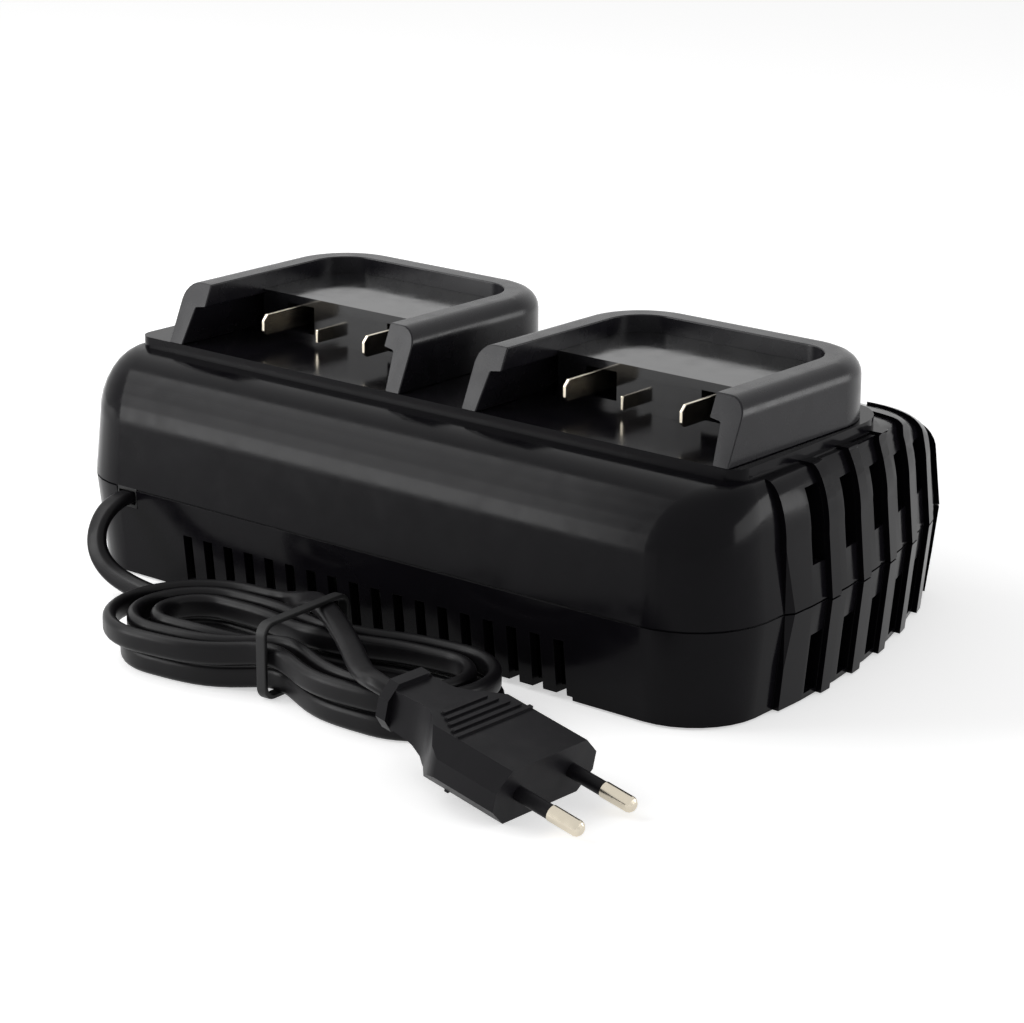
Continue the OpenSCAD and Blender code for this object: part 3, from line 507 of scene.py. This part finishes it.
class ChargerStudio(bpy.types.PropertyGroup):
    fill_level: bpy.props.FloatProperty(
        name="Fill", description="Level of the even light from all round", default=0.42)
    key_level: bpy.props.FloatProperty(
        name="Key", description="Brightness of the tall soft box, where one is white", default=9.0)
    floor: colour("Floor", "Pale floor", "#f2f2f2")


# ---- operators ----

class CHARGER_OT_cord(bpy.types.Operator):
    """Flat mains cord, from the housing through its tied hank to the plug"""
    bl_idname = "charger.cord"
    bl_label = "Mains cord"

    def execute(self, context):
        sizes, colours = context.scene.charger_sizes, context.scene.charger_colours
        # Soft PVC, extruded: a satin black whose rounded edges catch thin lines of light
        vinyl = moulded_plastic(
            "extruded_soft_pvc", colours.cord, gloss=0.36, grain_mm=0.5, depth_mm=0.006, specular=0.15)
        path, sides = cord_route()
        points, faces = swept(path, sides, flat_section(sizes.cord_width, sizes.cord_thickness))
        cord = new_piece("mains_cord", points, faces, vinyl, "housing")
        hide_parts("cord_lead", "cord_hank", "cord_tail")
        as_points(path)
        return {"FINISHED"}


class CHARGER_OT_plug(bpy.types.Operator):
    """Flat two-pin plug, and the tie round the hank"""
    bl_idname = "charger.plug"
    bl_label = "Plug and tie"

    def execute(self, context):
        sizes, colours = context.scene.charger_sizes, context.scene.charger_colours
        # Soft PVC moulded over the cord: a spark-eroded satin, greyer than the cord
        plug = moulded_plastic(
            "moulded_soft_pvc", colours.plug, gloss=0.42, grain_mm=0.35, depth_mm=0.012, specular=0.12)
        dress(["plug_body", "plug_sleeves"], plug, sizes.shell_edge)
        # Thin PVC over soft wire, twisted shut: dull black
        tie = moulded_plastic(
            "coated_tie_wire", colours.tie, gloss=0.5, grain_mm=0.4, depth_mm=0.01, specular=0.3)
        dress(["cord_tie"], tie, sizes.shell_edge)
        return {"FINISHED"}


class CHARGER_OT_housing(bpy.types.Operator):
    """Upper and lower shells and the two bay collars"""
    bl_idname = "charger.housing"
    bl_label = "Housing"

    def execute(self, context):
        sizes, colours = context.scene.charger_sizes, context.scene.charger_colours
        # ABS from a polished mould: deep black with clear but softened reflections
        shell = moulded_plastic(
            "moulded_abs_polished", colours.housing, gloss=0.16, grain_mm=0.4, depth_mm=0.001, specular=0.075,
            wave_mm=0.012)
        dress(["upper_shell", "lower_shell"], shell, sizes.shell_edge)
        # ABS from a satin mould of its own: a shade greyer, with softer reflections than the shells
        dock = moulded_plastic(
            "moulded_abs_satin", colours.dock, gloss=0.26, grain_mm=0.4, depth_mm=0.002, specular=0.22)
        dress(["left_dock", "right_dock"], dock, sizes.shell_edge)
        return {"FINISHED"}


class CHARGER_OT_terminals(bpy.types.Operator):
    """Terminal blocks with their blades"""
    bl_idname = "charger.terminals"
    bl_label = "Terminals"

    def execute(self, context):
        sizes, colours = context.scene.charger_sizes, context.scene.charger_colours
        # Polyester from a polished mould: the glossiest face on the charger
        block = moulded_plastic(
            "moulded_polyester_gloss", colours.block, gloss=0.12, grain_mm=0.5, depth_mm=0.001, specular=0.45)
        dress(["left_terminal_block", "right_terminal_block"], block, sizes.shell_edge * 0.7)
        blades = ("power_blades", "signal_blade")
        names = [f"{side}_{blade}" for side in ("left", "right") for blade in blades]
        plate = nickel_plate(colours.contact)
        dress(names, plate, sizes.metal_edge)
        dress(["plug_pins"], plate)
        return {"FINISHED"}


class CHARGER_OT_fittings(bpy.types.Operator):
    """Status lights, screws, feet, bushing and cord clamp"""
    bl_idname = "charger.fittings"
    bl_label = "Small fittings"

    def execute(self, context):
        sizes, colours = context.scene.charger_sizes, context.scene.charger_colours
        dress(["status_lights"], clear_polycarbonate(colours.light), sizes.metal_edge)
        dress(["housing_screws", "pcb_screws"], zinc_steel(colours.steel), sizes.metal_edge)
        dress(["rubber_feet"], moulded_rubber(colours.rubber), sizes.metal_edge)
        # Soft PVC grommet: dull beside the polished shell
        bushing = moulded_plastic(
            "moulded_pvc_grommet", colours.tie, gloss=0.5, grain_mm=0.4, depth_mm=0.01, specular=0.3)
        dress(["cord_bushing"], bushing, sizes.metal_edge)
        # Nylon clamp: off-black with a waxy gloss
        clamp = moulded_plastic(
            "moulded_nylon", srgb("#2e2e30"), gloss=0.4, grain_mm=0.5, depth_mm=0.01, specular=0.4)
        dress(["cord_clamp"], clamp, sizes.metal_edge)
        return {"FINISHED"}


class CHARGER_OT_circuit(bpy.types.Operator):
    """Circuit board and what stands on it"""
    bl_idname = "charger.circuit"
    bl_label = "Circuit"

    def execute(self, context):
        sizes, colours = context.scene.charger_sizes, context.scene.charger_colours
        dress(["main_pcb"], solder_mask(colours.board, colours.track), sizes.metal_edge)
        dress(["transformer_core"], sintered_ferrite(srgb("#3b3a3a")), sizes.shell_edge)
        dress(["transformer_winding"], winding_tape(srgb("#d2a92c")), sizes.shell_edge)
        dress(["heat_sinks"], extruded_aluminium(srgb("#c3c6ca")), sizes.metal_edge)
        dress(["bulk_capacitors"], capacitor_sleeve(srgb("#161a3a"), srgb("#b9bdc9")))
        dress(["mains_choke"], enamelled_winding(srgb("#b4693a")))
        dress(["mains_fuse"], fuse_glass(srgb("#c8d6cf"), srgb("#c9c9c4")))
        dress(["contact_wires"], wire_insulation("red_wire_pvc", srgb("#a31c1a")))
        dress(["mains_wires"], wire_insulation("blue_wire_pvc", srgb("#2f5fb0")))
        return {"FINISHED"}


class CHARGER_OT_fan(bpy.types.Operator):
    """Cooling fan: its frame and its rotor"""
    bl_idname = "charger.fan"
    bl_label = "Fan"

    def execute(self, context):
        sizes = context.scene.charger_sizes
        # Glass-filled polyester: dull black with a dry grain
        frame_finish = moulded_plastic(
            "moulded_glass_filled_polyester", srgb("#1d1d1e"), gloss=0.5, grain_mm=0.3, depth_mm=0.02,
            specular=0.35)
        dress(["fan_frame"], frame_finish, sizes.metal_edge)
        # The same polyester, polished on the blades
        rotor_finish = moulded_plastic(
            "moulded_polyester_rotor", srgb("#242426"), gloss=0.34, grain_mm=0.4, depth_mm=0.01, specular=0.4)
        dress(["fan_rotor"], rotor_finish, sizes.metal_edge)
        return {"FINISHED"}


# ---- stage ----

# Camera, fitted to the photograph: its place in metres and the directions of its right, up and view
CAMERA_AT = (0.548419, -0.660654, 0.284293)
CAMERA_RIGHT = (0.76445, 0.64467, 0.00354)
CAMERA_UP = (-0.19202, 0.22245, 0.95585)
CAMERA_LENS_MM = 116.03
SENSOR_MM = 36
# The window's panes: a point on the axis that they stand round, how far off it they stand, their
# width, where the lowest starts round the shoulder and the angle that each takes up, in degrees, and
# each one's share of the level from low to high
WINDOW_AXIS = (-0.552, -0.062, 0.05)
WINDOW_REACH = 0.6
WINDOW_WIDTH = 0.385
WINDOW_LOW = -4
WINDOW_STEP = 25
WINDOW_SHARES = (1.0, 0.6, 0.43, 0.36)


def aimed(place, target):
    """Matrix of a lamp at that place, facing the target."""
    away = (Vector(target) - Vector(place)).to_track_quat("-Z", "Y")
    return Matrix.Translation(place) @ away.to_matrix().to_4x4()


def soft_box(name, place, target, width, height, radiance):
    """A rectangular lamp of that size in metres, and of that brightness where one is white."""
    lamp = bpy.data.lights.new(name, "AREA")
    lamp.shape = "RECTANGLE"
    lamp.size = width
    lamp.size_y = height
    lamp.energy = radiance * math.pi * width * height
    box = bpy.data.objects.new(name, lamp)
    bpy.context.scene.collection.objects.link(box)
    box.matrix_world = aimed(place, target)


def seen_directly(tree):
    """One for rays from the camera, from a mirror or through glass, and nought for scattered light."""
    path = add(tree, "ShaderNodeLightPath").outputs
    mirror = add(tree, "ShaderNodeMath", {0: path["Is Glossy Ray"], 1: path["Is Transmission Ray"]},
                 operation="MAXIMUM").outputs[0]
    return add(tree, "ShaderNodeMath", {0: path["Is Camera Ray"], 1: mirror}, operation="MAXIMUM").outputs[0]


class CHARGER_OT_stage(bpy.types.Operator):
    """Camera, pale floor, even sky and soft boxes"""
    bl_idname = "charger.stage"
    bl_label = "Studio"

    def execute(self, context):
        self.camera(context)
        self.floor(context)
        self.sky(context)
        self.window(context.scene.charger_studio.key_level)
        soft_box("side_soft_box", (0.91, 0.456, 0.2), (0.1, 0, 0.04), width=1.1, height=0.34, radiance=4.5)
        context.scene.view_settings.view_transform = "Standard"
        return {"FINISHED"}

    def window(self, level):
        """A tall soft box bent round the front shoulder, so that its reflection has straight ends."""
        axis = Vector(WINDOW_AXIS)
        for i, share in enumerate(WINDOW_SHARES):
            around = math.radians(WINDOW_LOW + (i + 0.5) * WINDOW_STEP)
            out = Vector((0, -math.cos(around), math.sin(around)))
            pane = 2 * WINDOW_REACH * math.tan(math.radians(WINDOW_STEP / 2))
            soft_box(f"window_{i}", axis + WINDOW_REACH * out, axis, WINDOW_WIDTH, pane, level * share)

    def camera(self, context):
        """The photograph's viewpoint, for a frame of 1024 by 1023."""
        data = bpy.data.cameras.new("camera")
        data.lens = CAMERA_LENS_MM
        data.sensor_width = SENSOR_MM
        data.sensor_fit = "HORIZONTAL"
        camera = bpy.data.objects.new("camera", data)
        right, up = Vector(CAMERA_RIGHT), Vector(CAMERA_UP)
        turn = Matrix((right, up, right.cross(up))).transposed().to_4x4()
        camera.matrix_world = Matrix.Translation(CAMERA_AT) @ turn
        context.scene.collection.objects.link(camera)
        context.scene.camera = camera

    def floor(self, context):
        """A wide pale floor: it takes the shadow, and is lifted to white where it is seen."""
        half = 4.0
        mesh = bpy.data.meshes.new("floor")
        corners = [(-half, -half, 0), (half, -half, 0), (half, half, 0), (-half, half, 0)]
        mesh.from_pydata(corners, [], [(0, 1, 2, 3)])
        floor = bpy.data.objects.new("floor", mesh)
        context.scene.collection.objects.link(floor)
        material = bpy.data.materials.new("pale_floor")
        material.use_nodes = True
        tree = material.node_tree
        tree.nodes.clear()
        matt = add(tree, "ShaderNodeBsdfDiffuse", {"Color": opaque(context.scene.charger_studio.floor)})
        lift = add(tree, "ShaderNodeMath", {0: seen_directly(tree), 1: 0.5}, operation="MULTIPLY")
        glow = add(tree, "ShaderNodeEmission", {"Color": (1, 1, 1, 1), "Strength": lift.outputs[0]})
        both = add(tree, "ShaderNodeAddShader", {0: matt.outputs[0], 1: glow.outputs[0]})
        add(tree, "ShaderNodeOutputMaterial", {"Surface": both.outputs[0]})
        mesh.materials.append(material)

    def sky(self, context):
        """Even light from all round, seen as white."""
        world = bpy.data.worlds.new("studio")
        context.scene.world = world
        world.use_nodes = True
        tree = world.node_tree
        tree.nodes.clear()
        level = add(tree, "ShaderNodeMapRange", {
            "Value": seen_directly(tree), "To Min": context.scene.charger_studio.fill_level, "To Max": 1.0})
        light = add(tree, "ShaderNodeBackground", {"Color": (1, 1, 1, 1), "Strength": level.outputs[0]})
        add(tree, "ShaderNodeOutputWorld", {"Surface": light.outputs[0]})


class CHARGER_PT_panel(bpy.types.Panel):
    """Lists the charger's pieces, sizes and colours"""
    bl_idname = "CHARGER_PT_panel"
    bl_label = "Charger"
    bl_space_type = "VIEW_3D"
    bl_region_type = "UI"
    bl_category = "Charger"

    def draw(self, context):
        for step in STEPS:
            self.layout.operator(step.bl_idname)
        for group_name in GROUPS:
            group = getattr(context.scene, group_name)
            column = self.layout.column()
            for name in group.__annotations__:
                column.prop(group, name)


GROUPS = {"charger_sizes": ChargerSizes, "charger_colours": ChargerColours, "charger_studio": ChargerStudio}
STEPS = (CHARGER_OT_stage, CHARGER_OT_cord, CHARGER_OT_plug, CHARGER_OT_housing, CHARGER_OT_terminals,
         CHARGER_OT_fittings, CHARGER_OT_circuit, CHARGER_OT_fan)


def register():
    for item in (*GROUPS.values(), *STEPS, CHARGER_PT_panel):
        bpy.utils.register_class(item)
    for name, group in GROUPS.items():
        setattr(bpy.types.Scene, name, bpy.props.PointerProperty(type=group))


def unregister():
    for name in GROUPS:
        delattr(bpy.types.Scene, name)
    for item in reversed((*GROUPS.values(), *STEPS, CHARGER_PT_panel)):
        bpy.utils.unregister_class(item)


def main():
    register()
    for step in STEPS:
        family, name = step.bl_idname.split(".")
        getattr(getattr(bpy.ops, family), name)()


if __name__ == "__main__":
    main()
